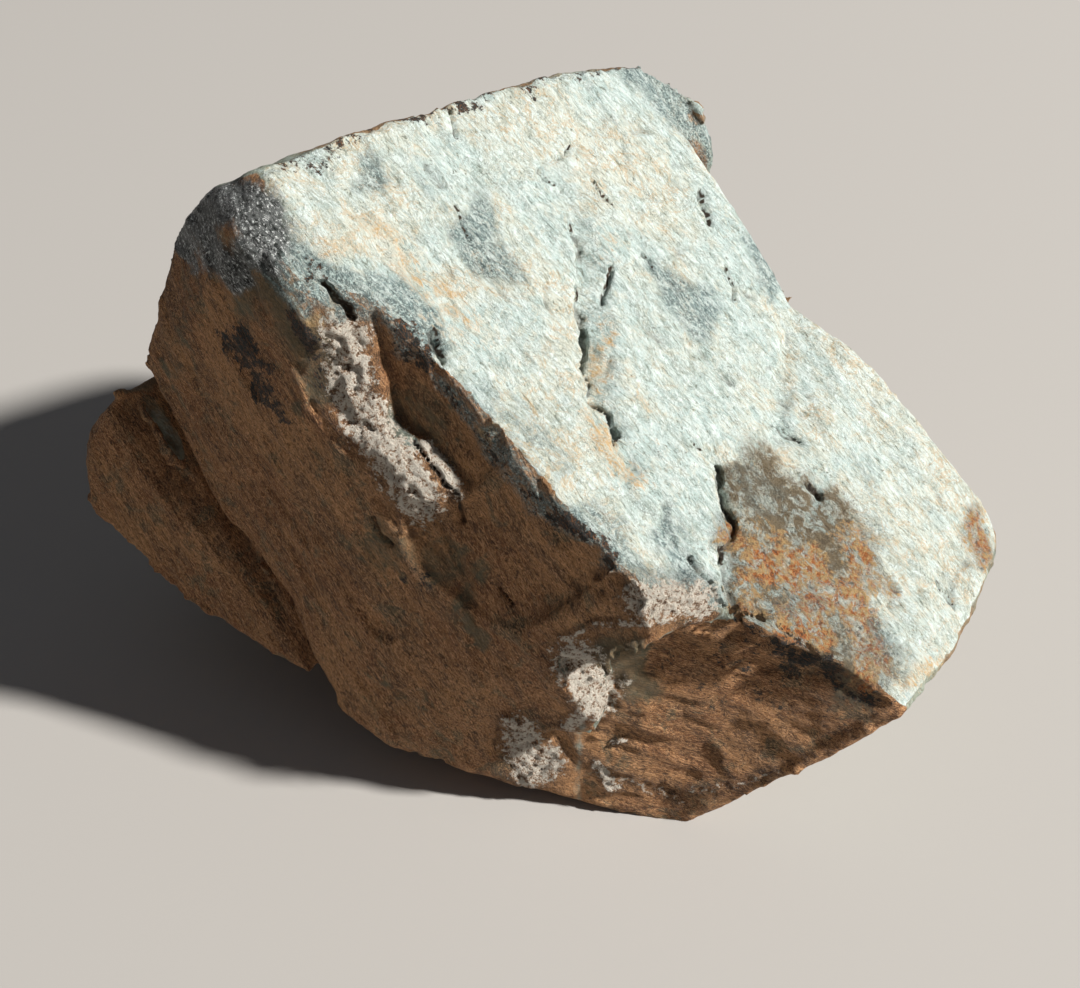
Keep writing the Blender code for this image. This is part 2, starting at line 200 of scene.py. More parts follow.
# places where pieces broke away: cross-sections (along, down, depth) on a face
breaks = {
    "frontSlope": ("front", (
        ((-3, -3, -1), (0.7, 0.1, -1.5), (2, 5, -7.5)),
        ((3, -4, -4.9), (6, 0.1, -4.9), (8.8, 5.8, -8)),
        ((12, -4, -3.8), (13.4, 0.2, -3.8), (14.8, 6.5, -8)),
        ((19, -4, -3), (19.8, 0.2, -3), (21.2, 4.6, -7.8)),
        ((26, -4, -0.5), (28, 3.2, -1.5), (25, 8.3, -8)),
        ((34, -5, 0), (36.5, 8.6, -2.7), (28.3, 17.1, -8)),
        ((42, -5, 0), (42.7, 14.4, -3.8), (34.1, 18.8, -7.8)),
        ((50, -5, 0), (48.8, 12.5, -3.5), (42, 17, -7.5)),
        ((57, -5, 0), (56, 13, -3), (50.5, 19, -7)),
        ((63, -5, 0.5), (62, 14, -0.6), (58.5, 27, -5)),
        ((70, -5, 0.5), (68, 14, -0.4), (64, 30, -4.6)),
        ((80, -5, 0.4), (79.5, 14, 0), (78, 27, -3)),
        ((84, -5, 0.5), (83.5, 12, 0.4), (82, 24, -2.8)),
    )),
    "frontRecess": ("front", (
        ((26, 0, -0.2), (28, 3.2, -0.7)), ((35, -1, 0.4), (36.5, 8.6, -0.3)), ((42, -2, 0.6), (42.7, 14.4, 0)),
        ((50, -2, 0.8), (48.8, 12.5, 0.4)), ((60, -3, 0.8), (59.5, 12.5, 0)),
    )),
    "lipSlope": ("front", (
        ((84.5, 1, 0.8), (82, 18, -2.6)), ((88, 0, 1.6), (84.5, 20, -3)), ((93, 4, 2), (89, 24, -3)),
        ((97, 8, 2.2), (92, 27, -3)),
    )),
    "valley": ("front", (
        ((0, 56, -4), (4, 63, 0), (3, 67, -8)), ((17, 56, -7), (18, 66, -1), (19, 72, -9)),
        ((30, 57, -8), (30, 64, -1), (31, 70, -9.5)), ((42, 58, -8), (42, 63.5, -0.5), (43, 70, -9.5)),
        ((52, 59, -8), (52, 65, -1), (54, 71, -9)), ((60, 63, -8), (60, 69, -2), (62, 73, -8)),
        ((70, 68, -7), (70, 72, -4), (72, 75, -8)),
    )),
    "prowWall": ("nose", (
        ((-20.9, 24.3, -2.6), (-10.5, 32.7, -5)), ((-12.6, 20.7, 0.8), (-2.5, 27.3, 0.8)), ((-4, 12, 1), (4, 22, 1)),
    )),
    "noseLow": ("nose", (
        ((-18.5, 47.5, -0.2), (-17, 54, -0.8)), ((-11.5, 41.5, 0.8), (-9, 60, -1.4)),
        ((-6, 38, 1), (-3, 62, -0.8)), ((-2.7, 28, -0.2), (8, 62, -0.3)), ((12, 32, 0), (14, 60, 0)),
    )),
    "topTrough": ("top", (
        ((54, 24, 0), (54.4, 25, 0.8), (58, 27.5, -1.5)), ((49.2, 32.9, -1), (49.8, 33.9, 2.2), (57, 37, -1.5)),
        ((42.5, 40.6, -1), (43.2, 41.5, 3.4), (51.5, 44.5, -1.5)),
        ((39.5, 45.3, -1), (40.2, 46.1, 3.6), (48, 49, -1.5)),
        ((34.9, 51.1, -1), (35.7, 51.9, 3.2), (43, 54.5, -1.5)), ((32, 56.6, -1), (32.8, 57, 2), (38.5, 59, -1.5)),
        ((31.7, 65.2, 0), (32.5, 65.4, 0.6), (36.5, 66.2, -1)),
    )),
    "flareScar": ("flare", (
        ((28.5, 45, 0), (29.5, 42, 0.6), (22, 28, 0)), ((33, 40.5, 0), (33.5, 39.8, 1.6), (21.5, 20, 0)),
        ((41, 38.3, 0), (41.2, 37.6, 2), (26, 12, 0)), ((47.4, 36, 0), (47.4, 35.2, 2), (31, 7, 0)),
        ((51.8, 37.4, 0), (51.8, 36.6, 1.6), (43, 1.5, 0)), ((61, 34, 0), (61, 33, 1.2), (58, 5, 0)),
    )),
    "scarEdge": ("flare", (
        ((28.5, 45, 0), (29.5, 43, 0.6), (28, 40, 0)), ((33, 40.8, 0), (33.5, 39.6, 3), (31, 35, 0)),
        ((41, 38.6, 0), (41.2, 37.4, 3.6), (39, 32, 0)), ((47.4, 36.2, 0), (47.4, 35, 3.2), (45, 29, 0)),
        ((51.8, 37.7, 0), (51.8, 36.4, 3), (50, 31, 0)), ((61, 34.3, 0), (61, 33, 1.8), (60, 29, 0)),
    )),
    "noseFace": ("nose", (
        ((-14.5, 15.5, 1), (-12.6, 20.7, 1.2), (-3.4, 28, 1.6)), ((-6.4, 5.5, 3), (-1, 30, 1.2), (2, 50, 0.2)),
        ((1, 2.2, 3.8), (6, 48, 0)), ((12, 1.2, 3.8), (15, 54, 0)), ((31, 0.5, 1), (27, 24, 0)),
    )),
    "backLedge": ("back", (
        ((-30, 24, 0), (-28, 27, 2), (-20, 56, 0)), ((-4, 19, 0), (-4, 23, 4), (-2, 56, 0)),
        ((24, 26, 0), (24, 30, 4), (22, 58, 0)), ((48, 18, 0), (48, 22, 2), (44, 50, 0)),
    )),
    "leftLedge": ("left", (
        ((2, 14, 0), (3, 17, 3), (4, 42, 0)), ((18, 22, 0), (18, 25, 5), (18, 50, 0)),
        ((36, 16, 0), (36, 19, 3), (34, 46, 0)),
    )),
}
carving = {"clearance": 14, "skin": 0.5, "triangles": 198000}


def addHull(name, points, collection):
    mesh = bpy.data.meshes.new(name)
    mesh.from_pydata([tuple(point) for point in points], [], [])
    hull = bpy.data.objects.new(name, mesh)
    collection.objects.link(hull)
    selectOnly(hull)
    bpy.ops.object.mode_set(mode="EDIT")
    bpy.ops.mesh.select_all(action="SELECT")
    bpy.ops.mesh.convex_hull()
    bpy.ops.mesh.normals_make_consistent(inside=False)
    bpy.ops.object.mode_set(mode="OBJECT")
    return hull


def faceAxes(face):
    named = {**corners["shoulder"], **corners["block"]}
    origin, along, down = (toMetres(named[corner]) for corner in faces[face])
    run = (along - origin).normalized()
    fall = (down - origin - run * run.dot(down - origin)).normalized()
    outward = run.cross(fall)
    if outward.dot(origin - toMetres(corners["shoulder"]["inner"])) < 0:
        outward.negate()
    return origin, run, fall, outward


def addBreak(name, face, sections, collection):
    origin, run, fall, outward = faceAxes(face)
    for number in range(len(sections) - 1):
        points = []
        for along, down, depth in sections[number] + sections[number + 1]:
            foot = origin + (run * along + fall * down) * mm
            points += [foot - outward * depth * mm, foot + outward * carving["clearance"] * mm]
        addHull(f"{name}{number + 1}", points, collection)


def applyModifier(obj, kind, **settings):
    selectOnly(obj)
    bpy.ops.object.modifier_add(type=kind)
    modifier = obj.modifiers[-1]
    for key, value in settings.items():
        setattr(modifier, key, value)
    bpy.ops.object.modifier_apply(modifier=modifier.name)


def countTriangles(mesh):
    mesh.calc_loop_triangles()
    return len(mesh.loop_triangles)


def buildBlock():
    lumps, cutters = newCollection("lumps"), newCollection("cutters")
    stone = addHull("boulder", [toMetres(c) for c in corners["block"].values()], bpy.context.scene.collection)
    for name in list(corners)[1:]:
        addHull(name, [toMetres(c) for c in corners[name].values()], lumps)
    for name, (face, sections) in breaks.items():
        addBreak(name, face, sections, cutters)
    for operation, collection in (("UNION", lumps), ("DIFFERENCE", cutters)):
        applyModifier(stone, "BOOLEAN", operation=operation, operand_type="COLLECTION", collection=collection)
    for collection in (lumps, cutters):
        for obj in list(collection.objects):
            bpy.data.objects.remove(obj)
        bpy.data.collections.remove(collection)
    applyModifier(stone, "REMESH", mode="VOXEL", voxel_size=carving["skin"] * mm)
    return stone


# ---- what the surface is like from place to place

# breaks narrower than a cutter: a line on the stone, its width and depth, all in millimetres
cracks = (
    (((4, 7, 91), (4.5, 4, 89), (6, -1, 86.5), (5.5, -10, 82.5)), 0.8, 1.6),
    (((5.5, -10, 82.5), (6.5, -13, 79), (6.5, -20.5, 76.5)), 1.2, 1.6),
    (((6.5, -20.5, 76.5), (7.5, -28.5, 75.5), (10.5, -28.5, 72), (12, -33.5, 70.5)), 0.8, 1.6),
    (((12, 0.5, 83.5), (9.5, -4.5, 81), (9.5, -6, 80)), 0.8, 1.0),
    (((-17.5, 16.5, 106.5), (-16, 12.5, 105.5), (-15, 10.5, 103.5)), 0.6, 1.0),
    (((29.5, -27, 61), (29.5, -30, 60), (30.5, -33.5, 57), (32.5, -36, 54.5), (31.5, -42, 55.5),
      (29, -44.5, 56.5), (30, -51, 53.5), (31.5, -53.5, 49)), 1.3, 1.6),
    (((25, -26, 65.5), (27, -27, 63.5), (29.5, -27, 61)), 0.6, 0.8),
    (((23.5, -49, 58.5), (26, -51.5, 56.5), (28.5, -53, 53.5), (31, -53.5, 49)), 0.8, 1.6),
    (((40.5, -13, 60), (42.5, -14.5, 58.5), (45, -15, 57.5)), 0.8, 1.2),
    (((-18.5, -30, 90.5), (-17.5, -32.5, 89), (-16.5, -34, 87.5)), 1.2, 2.0),
    (((-35.5, -28.5, 99), (-34, -30, 97.5), (-31.5, -30.5, 95), (-30.5, -31, 93.5)), 1.0, 1.8),
    (((-21.5, -37, 74), (-19.5, -39, 71.5), (-17, -40.5, 68.5), (-14.5, -41.5, 65.5), (-14, -43, 62)), 0.7, 1.0),
    (((-29, -40, 59.5), (-27.5, -41, 57.5), (-25.5, -41.5, 56)), 0.9, 1.0),
    (((-7.5, -47.5, 51.5), (-6.5, -48.5, 50), (-5.5, -49, 48.5)), 0.9, 1.0),
    (((46.5, -22, 53), (48, -23, 52), (48.5, -23.5, 51.5)), 1.4, 1.8),
    (((69.5, -29.5, 37.5), (71.5, -31.5, 35.5), (73, -33.5, 33.5)), 0.6, 0.8),
    (((29, 29.5, 83.5), (30, 27, 82), (31, 24, 79.5)), 1.2, 1.6),
    (((17, 7, 82.5), (18.5, 6.5, 81.5), (19.5, 5.5, 80.5)), 0.7, 0.8),
    (((33.5, 15, 75), (34.5, 12, 73.5), (34.5, 8.5, 72)), 0.7, 0.9),
    (((-15.5, -4, 98.5), (-14, -7.5, 96.5), (-13, -10, 95.5)), 0.6, 0.6),
    (((8.5, 17, 92), (10, 15, 90), (12, 14, 88.5)), 0.6, 0.7),
    (((4.5, 24, 96), (3, 19, 96.5), (1, 16.5, 97), (-1, 14, 97.5), (-1.5, 12.5, 96.5), (0, 12, 95.5),
      (2, 11.5, 94)), 0.7, 0.8),
)

# stains, crumbled places, and lines of painted light and painted shade: a line on the stone, the half width in
# millimetres, the strength
stains = {
    "blue": (
        (((-15.5, -38.5, 85), (-8.5, -43, 79), (-2, -47.5, 73.5), (5, -52, 67.5), (10, -56, 63)), 2.2, 0.9),
        (((-12.5, -6.5, 96), (-11, -9.5, 94), (-9.5, -11.5, 92)), 4.5, 1.0),
        (((-29.5, -7.5, 106.5), (-28.5, -10, 105.5)), 3.5, 0.8), (((22.5, 3.5, 77.5), (28, 2.5, 73.5)), 5, 0.9),
        (((-34, -29, 98), (-29.5, -30, 96)), 4, 0.9), (((-25.5, -28, 95.5), (-22.5, -29, 93.5), (-18.5, -31.5, 90)), 4, 1.2),
        (((-44.5, -25, 104), (-41, -28, 101), (-36, -30, 98)), 3.5, 1.1), (((-12, -35.5, 84.5), (-4, -39, 78.5), (2, -40.5, 73.5)), 3.5, 0.55),
        (((7, -49.5, 68), (12.5, -54.5, 63)), 3.5, 0.7), (((20, -45, 62), (23, -51.5, 58)), 2.6, 0.9),
        (((23.5, -41.5, 60.5), (25, -45, 58.5)), 1.6, 0.6), (((40, -46.5, 47.5), (42, -47.5, 46)), 2.5, 0.6),
        (((45.5, -43.5, 45), (51, -51.5, 41)), 4, 0.5), (((33.5, -25.5, 59), (37, -25.5, 56.5)), 5, 0.6),
        (((56.5, -15, 51), (63.5, -28.5, 41.5)), 3, 0.5), (((57, -46.5, 38.5), (59, -51.5, 36)), 3.5, 0.6),
        (((19.5, 52, 96.5), (25, 53, 88.5), (31, 51.5, 83)), 4.5, 1), (((39.5, 24.5, 74.5), (43, 20, 68)), 3, 0.9),
        (((-21, -1.5, 103), (-17, -4, 99.5)), 3, 0.5), (((-24.5, 0.5, 106.5), (-18, 3, 102.5)), 3, 0.4),
    ),
    "ochre": (
        (((-34, -24, 102.5), (-30.5, -21.5, 102), (-27, -18, 101), (-24, -19.5, 98), (-23.5, -22, 97)), 4.5, 0.6),
        (((-20.5, -22.5, 95.5), (-17, -24, 92), (-14.5, -25.5, 90)), 5, 0.65),
        (((-12.5, -25, 89), (-7.5, -27.5, 85), (-2.5, -30, 81.5)), 4, 0.45),
        (((10.5, 13.5, 89), (14, 7.5, 85), (13, 2.5, 84)), 5, 0.5),
        (((9.5, -11, 78), (11, -21, 74.5), (9.5, -27.5, 73)), 3, 0.7), (((8.5, -33, 73.5), (12.5, -38.5, 68.5)), 4.5, 0.7),
        (((15.5, 22, 89.5), (21, 14.5, 83.5)), 6, 0.35), (((17.5, -30, 68.5), (19, -36.5, 65)), 6, 0.35),
        (((-34, -31.5, 94.5), (-34, -32, 94)), 2, 1.0), (((-9, -40.5, 79), (-8.5, -41, 78)), 1.8, 1.0),
        (((67, -3, 49), (71, -8, 45.5), (69.5, -13.5, 44)), 4, 0.4), (((67, -45.5, 33), (60.5, -54, 34)), 4, 0.6),
        (((63.5, -44, 36), (71.5, -38.5, 31)), 4, 0.4), (((2.5, -18, 82.5), (4, -26.5, 78.5)), 6, 0.25),
        (((-52, -20, 101), (-50.5, -22, 99)), 3, 0.9),
    ),
    "rust": (
        (((43.5, -39, 47.5), (46, -41, 45.5), (44, -44, 45.5)), 4.5, 1.2), (((41.5, -51, 45.5), (45.5, -52, 43)), 3.2, 1.0),
        (((38, -40.5, 51), (43.5, -39.5, 47)), 5, 0.9), (((51.5, -39.5, 43.5), (54, -43.5, 41)), 3.6, 0.8),
        (((33.5, -39.5, 54), (36, -41.5, 52), (33.5, -50, 50.5)), 5, 0.6), (((55.5, -29, 45), (58, -35.5, 41.5)), 4.5, 0.6),
        (((79, -15, 38), (80.5, -20.5, 34.5)), 3, 0.7), (((55, -47.5, 39.5), (56, -54, 36.5)), 3, 0.7),
        (((77, -24, 35), (74, -30.5, 34)), 2, 0.4),
    ),
    "umber": (
        (((33, -28.5, 59), (35, -32, 56.5), (35.5, -39, 53), (34.5, -50, 51)), 3.5, 0.9),
        (((38, -27, 56), (41, -33, 51.5), (42.5, -37, 49.5)), 7, 0.75), (((50, -27, 49), (53, -32.5, 45)), 5, 0.6),
        (((39, -47, 48), (47.5, -50.5, 42.5), (52.5, -55, 37.5)), 5, 0.7),
    ),
    # black mottling, and painted shade under the nose's lip, along the back crest and beside the lit strip
    "blackAndPaintedShade": (
        (((-15.5, -39, 84.5), (-8.5, -43.5, 78.5), (-2, -48, 73), (5, -52.5, 67), (10, -56.5, 62.5)), 1.6, 0.9),
        (((-50.5, -24.5, 88), (-50, -25.5, 84.5)), 1.8, 1.0), (((-51, -24, 83), (-49, -26, 80), (-47, -27, 75.5)), 2.2, 0.9),
        (((-46, -28, 74.5), (-42, -31.5, 74)), 1.6, 0.8), (((-39, -31.5, 95), (-36.5, -32.5, 90), (-35.5, -33, 86)), 2.5, 1.0),
        (((-47, -17, 109), (-34.5, -1.8, 107), (-20.5, 16, 104.5), (0, 38, 100.5), (16.5, 54.5, 95)), 2, 0.8),
        (((-47.5, -23.5, 106), (-38.5, -28.5, 100), (-35.5, -31, 96.5)), 2.5, 0.6),
        (((-23, -32, 92), (-17, -35.5, 86)), 2.8, 0.9), (((-23.5, -42.5, 56.5), (-22, -43.5, 47)), 3, 0.6),
        (((24, -55, 41), (36.5, -51.5, 30.5)), 7, 0.6), (((15.5, -55, 41), (17.5, -56, 38)), 4, 0.4),
        (((29, -54, 48), (42.5, -52, 39.5), (54.5, -54.5, 34.5)), 3.5, 0.75), (((53.5, -54.5, 34.5), (57, -56, 33.5)), 2, 0.9),
    ),
    "charcoal": (
        (((-53, -16, 106), (-46.5, -20.5, 108.5), (-44.5, -25, 105)), 4.5, 1.0),
        (((-56, -16, 101.5), (-55, -18.5, 98.5), (-50, -23.5, 97)), 4, 1.0), (((-58, -14, 104), (-60, -13, 98)), 3, 1.0),
    ),
    "green": (
        (((-47, -26.5, 97.5), (-40.5, -31, 95), (-36, -32.5, 86.5)), 7, 0.8), (((-23.5, -33, 79), (-17, -36.5, 75.5)), 5, 0.6),
        (((-26, -41.5, 56.5), (-14.5, -46, 49.5)), 7, 0.6), (((-27.5, -44, 19.5), (-21, -46, 11.5)), 7, 0.5),
        (((11.5, -52.5, 41), (16, -55, 35)), 5, 0.9), (((-62, -14.5, 82.5), (-67.5, -11.5, 68)), 5, 0.5),
        (((-12.5, -47.5, 44), (-12, -48.5, 39)), 2, 0.9),
    ),
    # crumbled grains, painted pale as painted light where light falls on them
    "crumbWithPaintedLight": (
        (((-32, -31.5, 90.5), (-31.5, -33.5, 83), (-29.5, -36, 77), (-26, -38.5, 74), (-23.5, -40, 70),
          (-20.5, -42, 65.5)), 4, 1.0),
        (((-19.5, -37.5, 73), (-16.5, -39.5, 69.5), (-14.5, -41, 66.5)), 1.6, 0.9),
        (((15.5, -57, 57), (24.5, -55, 55)), 3.5, 1.0),
        (((2.5, -54, 45.5), (8.5, -56.5, 51), (16.5, -58.5, 53), (23, -56.5, 53.5)), 0.9, 0.65),
        (((5, -52.5, 39.5), (9, -54.5, 32)), 4, 1.0), (((13.5, -54.5, 35.5), (9, -54.5, 32), (4, -52, 23.5)), 1.6, 0.9),
        (((-4.5, -50.5, 20), (-3, -48, 8), (0, -48.5, 11)), 3.5, 1.0), (((9.5, -49.5, 11), (12, -50.5, 6.5)), 1.2, 1.0),
        (((11.5, -50, 17), (14, -50, 18)), 0.5, 1.0), (((26, -52, 7.5), (34, -55, 11.5), (40, -55, 15.5)), 1.2, 0.45),
        (((9.5, -49.5, 10), (24, -52, 5)), 1.4, 0.45),
    ),
}


# hollows of the sloping top that stay as pale as the rest of it
paleHollows = (
    (((4.5, 4, 89), (6, -1, 86.5), (5.5, -10, 82.5), (6.5, -20.5, 76.5), (12, -33.5, 70.5)), 4.5, 1.0),
    (((29.5, -27, 61), (32.5, -36, 54.5), (31.5, -42, 55.5), (30, -50, 54)), 3, 1.0),
)

towardsFront = np.array((0, -0.788, 0.616))


def readMesh(mesh):
    count = len(mesh.vertices)
    places, normals = np.empty(count * 3), np.empty(count * 3)
    edges = np.empty(len(mesh.edges) * 2, dtype=int)
    mesh.vertices.foreach_get("co", places)
    mesh.vertices.foreach_get("normal", normals)
    mesh.edges.foreach_get("vertices", edges)
    return places.reshape(-1, 3) / mm, normals.reshape(-1, 3), edges.reshape(-1, 2)


def spread(values, edges, rounds):
    # averages a value or vector with its neighbours, round by round
    first, second = edges.T
    values = values.reshape(len(values), -1)
    for _ in range(rounds):
        total, share = values.copy(), 1 + np.bincount(edges.ravel(), minlength=len(values))
        for column in range(values.shape[1]):
            total[:, column] += np.bincount(first, values[second, column], len(values))
            total[:, column] += np.bincount(second, values[first, column], len(values))
        values = total / share[:, None]
    return values


def ease(value, low, high):
    part = np.clip((value - low) / (high - low), 0, 1)
    return part * part * (3 - 2 * part)


def distanceTo(places, line):
    # how high the surface stands towards the front counts for little, so a line stays on it through the relief
    nearest = np.full(len(places), 1e9)
    squash = np.eye(3) - 0.85 * np.outer(towardsFront, towardsFront)
    places, line = places @ squash, np.array(line, float) @ squash
    for start, end in zip(line[:-1], line[1:]):
        step = end - start
        part = np.clip((places - start) @ step / max(step @ step, 1e-6), 0, 1)
        nearest = np.minimum(nearest, np.linalg.norm(places - start - part[:, None] * step, axis=1))
    return nearest


def bend(places, size, amount):
    # shifts points by a noise of that size, so that what is painted along a line wanders
    return places + np.array([noise.noise_vector(place / size) for place in map(Vector, places)]) * amount


def paintLines(places, lines, soft=2.0):
    amount = np.zeros(len(places))
    for line, width, strength in lines:
        amount = np.maximum(amount, strength * ease(distanceTo(places, line), soft * width, 0))
    return amount


def findRegions(places, normals, edges, reach):
    # how far each point belongs to the sloping top, the front, the nose, the crumbled places and the sharp edges
    smooth = spread(normals, edges, reach)
    smooth /= np.linalg.norm(smooth, axis=1)[:, None]
    facing = {face: smooth @ np.array(faceAxes(face)[3]) for face in ("top", "front", "nose")}
    origin, run, fall, outward = faceAxes("top")
    height = (places - np.array(origin) / mm) @ np.array(outward)
    top = ease(facing["top"], 0.72, 0.88) * ease(height, -12, -7)
    under = ease(places[:, 2], 50, 42) * ease(places[:, 0], 0, 12)
    nose = ease(facing["nose"], 0.5, 0.8) * under * (1 - top)
    front = ease(facing["front"], 0.25, 0.6) * (1 - nose) * (1 - top)
    crumbWithPaintedLight = np.clip(paintLines(places, stains["crumbWithPaintedLight"], 1.6), 0, 1)
    proud = ((places - spread(places, edges, reach)) * smooth).sum(axis=1)
    scar = np.clip(paintLines(places, stains["rust"] + stains["umber"], 1.4), 0, 1)
    return {"top": top, "nose": nose, "front": front, "crumbWithPaintedLight": crumbWithPaintedLight, "scar": scar * top,
            "rest": np.clip(1 - top - nose - front, 0, 1), "rim": ease(proud, 0.15, 0.6)}


def addWeights(obj, name, weights, levels=20):
    group = obj.vertex_groups.new(name=name)
    steps = np.round(weights * levels).astype(int)
    for step in range(1, levels + 1):
        chosen = np.nonzero(steps == step)[0]
        if len(chosen):
            group.add(chosen.tolist(), step / levels, "REPLACE")


# ---- relief, from broad to fine: kind of noise, size, height, stretch along the grain, the grain's run, where

grainRuns = {
    "none": ((1, 0, 0), (0, 0, 1)),
    "bed": ((0.70, -0.43, -0.57), (0.2, -0.6, 0.8)),
    "top": ((0.67, -0.456, -0.586), (0.508, -0.293, 0.81)),
    "front": ((0.50, -0.38, -0.78), (-0.52, -0.851, 0.068)),
    "nose": ((0.96, -0.14, -0.22), (-0.14, -0.99, 0.007)),
}
broadRelief = {
    "swell": ("CLOUDS", 40, 2.0, 1, "none", "all"),
    "grain": ("CLOUDS", 9, 0.6, 3, "bed", "all"),
    "topPlates": ("DISTORTED_NOISE", 7, 0.5, 2.2, "top", "top"),
    "frontPlates": ("DISTORTED_NOISE", 5, 0.5, 4, "front", "front"),
    "nosePlates": ("DISTORTED_NOISE", 5, 0.4, 3, "nose", "nose"),
    "restPlates": ("CLOUDS", 10, 1.8, 2, "bed", "rest"),
    "rimChips": ("DISTORTED_NOISE", 3, 0.7, 1.5, "bed", "rim"),
}
fineRelief = {
    "topGrit": ("CLOUDS", 2.2, 0.25, 2.2, "top", "top"),
    "frontStrands": ("CLOUDS", 1.8, 0.5, 4, "front", "front"),
    "noseStrands": ("CLOUDS", 1.8, 0.4, 4, "nose", "nose"),
    "restGrit": ("CLOUDS", 2.4, 0.5, 2, "bed", "rest"),
    "scarGrit": ("CLOUDS", 2.6, 1.3, 1.3, "top", "scar"),
    "crumbs": ("CLOUDS", 1.4, 1.7, 1.2, "front", "crumbWithPaintedLight"),
}


def turnTo(run, outward):
    run, outward = Vector(run).normalized(), Vector(outward)
    side = outward.cross(run).normalized()
    return Matrix((run, side, run.cross(side))).transposed().to_euler()


def addRelief(stone, layers):
    for name, weights in findRegions(*readMesh(stone.data), reach=30).items():
        addWeights(stone, name, weights)
    for name, (kind, size, height, stretch, run, where) in layers.items():
        texture = bpy.data.textures.new(name, kind)
        texture.noise_scale = size * mm
        if kind == "CLOUDS":
            texture.noise_depth = 3
        else:
            texture.noise_basis, texture.noise_distortion = "CELL_NOISE", "ORIGINAL_PERLIN"
            texture.distortion = 1.2
        bpy.ops.object.empty_add(rotation=turnTo(*grainRuns[run]))
        grain = bpy.context.active_object
        grain.scale = (stretch, 1, 1)
        bpy.context.view_layer.update()
        applyModifier(stone, "DISPLACE", texture=texture, texture_coords="OBJECT", texture_coords_object=grain,
                      mid_level={"rim": 1.0, "crumbWithPaintedLight": 0.4}.get(where, 0.5), strength=height * mm,
                      vertex_group="" if where == "all" else where)
        bpy.data.objects.remove(grain)
    stone.vertex_groups.clear()


def addCracks(stone):
    places = bend(bend(readMesh(stone.data)[0], 4, 0.9), 1.6, 0.4)
    for depth in sorted({crack[2] for crack in cracks}):
        weights = np.zeros(len(places))
        for line, width, lineDepth in cracks:
            if lineDepth == depth:
                weights = np.maximum(weights, ease(distanceTo(places, line), 0.75 * width, 0.1 * width))
        addWeights(stone, f"crack{depth}", weights)
        applyModifier(stone, "DISPLACE", mid_level=0, strength=-depth * mm, vertex_group=f"crack{depth}")


# edges thinner than real stone would keep: a line on the stone, the half width, the strength
thinEdges = (
    (((-80, -7, 60.5), (-76, -2.5, 59)), 3.5, 1.0),
    (((33, -51.5, 48), (39.5, -52, 45), (44.5, -53.5, 42.5), (50, -55, 39), (55, -56, 36)), 1.2, 1.0),
    (((40, -56, 14), (47.5, -57, 20.5)), 1.5, 1.0),
)


def softenSpikes(stone):
    # thin tips and edges are worn back
    places, normals, edges = readMesh(stone.data)
    proud = ((places - spread(places, edges, 12)) * spread(normals, edges, 12)).sum(axis=1)
    addWeights(stone, "spikes", np.maximum(ease(proud, 0.8, 1.2), paintLines(places, thinEdges, 1.5)))
    applyModifier(stone, "SMOOTH", vertex_group="spikes", factor=0.8, iterations=25)
    stone.vertex_groups.clear()


def keepLargestPiece(stone):
    selectOnly(stone)
    bpy.ops.mesh.separate(type="LOOSE")
    pieces = sorted(bpy.context.selected_objects, key=lambda piece: len(piece.data.vertices))
    for piece in pieces[:-1]:
        bpy.data.objects.remove(piece)
    pieces[-1].name = "boulder"
    return pieces[-1]


stone = buildBlock()
print("block", countTriangles(stone.data))
softenSpikes(stone)
addRelief(stone, broadRelief)
applyModifier(stone, "REMESH", mode="VOXEL", voxel_size=carving["skin"] * mm)
stone = keepLargestPiece(stone)
print("broad relief", countTriangles(stone.data), len(stone.data.vertices) - len(stone.data.edges) + len(stone.data.polygons))
softenSpikes(stone)
addRelief(stone, fineRelief)
addCracks(stone)
print("fine relief", countTriangles(stone.data))
applyModifier(stone, "DECIMATE", ratio=carving["triangles"] / countTriangles(stone.data))
selectOnly(stone)
bpy.ops.object.mode_set(mode="EDIT")
bpy.ops.mesh.select_all(action="SELECT")
bpy.ops.mesh.bisect(plane_co=(0, 0, 0), plane_no=(0, 0, 1), use_fill=True, clear_inner=True)
bpy.ops.mesh.select_all(action="SELECT")
bpy.ops.mesh.quads_convert_to_tris()
bpy.ops.object.mode_set(mode="OBJECT")
bpy.ops.object.shade_smooth_by_angle(angle=math.radians(50))
stone.vertex_groups.clear()
print("boulder", countTriangles(stone.data))


def storeMask(mesh, name, values):
    layer = mesh.attributes.new(name, "FLOAT", "POINT")
    layer.data.foreach_set("value", np.clip(values, 0, 1).astype(np.float32))


places, normals, edges = readMesh(stone.data)
regions = findRegions(places, normals, edges, reach=14)
regions["top"] = np.maximum(regions["top"], paintLines(places, paleHollows))
for name in ("top", "nose", "front"):
    storeMask(stone.data, name, regions[name])
wandering = bend(bend(places, 9, 3.5), 3, 1.2)
for name, lines in stains.items():
    storeMask(stone.data, name, paintLines(wandering if name != "crumbWithPaintedLight" else places, lines))
# painted shade along the cracks: the crack lines, narrower, for a dark line over each carved crack
crackLines = [(line, width * 0.4, 1.0) for line, width, depth in cracks]
storeMask(stone.data, "crack", paintLines(bend(bend(places, 4, 0.9), 1.6, 0.4), crackLines))
# painted shade: how far each point sits in a hollow, to darken the hollows
paintedHollowShade = spread(places, edges, 6) - places
storeMask(stone.data, "paintedHollowShade", 0.5 + (paintedHollowShade * spread(normals, edges, 2)).sum(axis=1) * 0.8)
print("stains")

# ---- the stone's finish

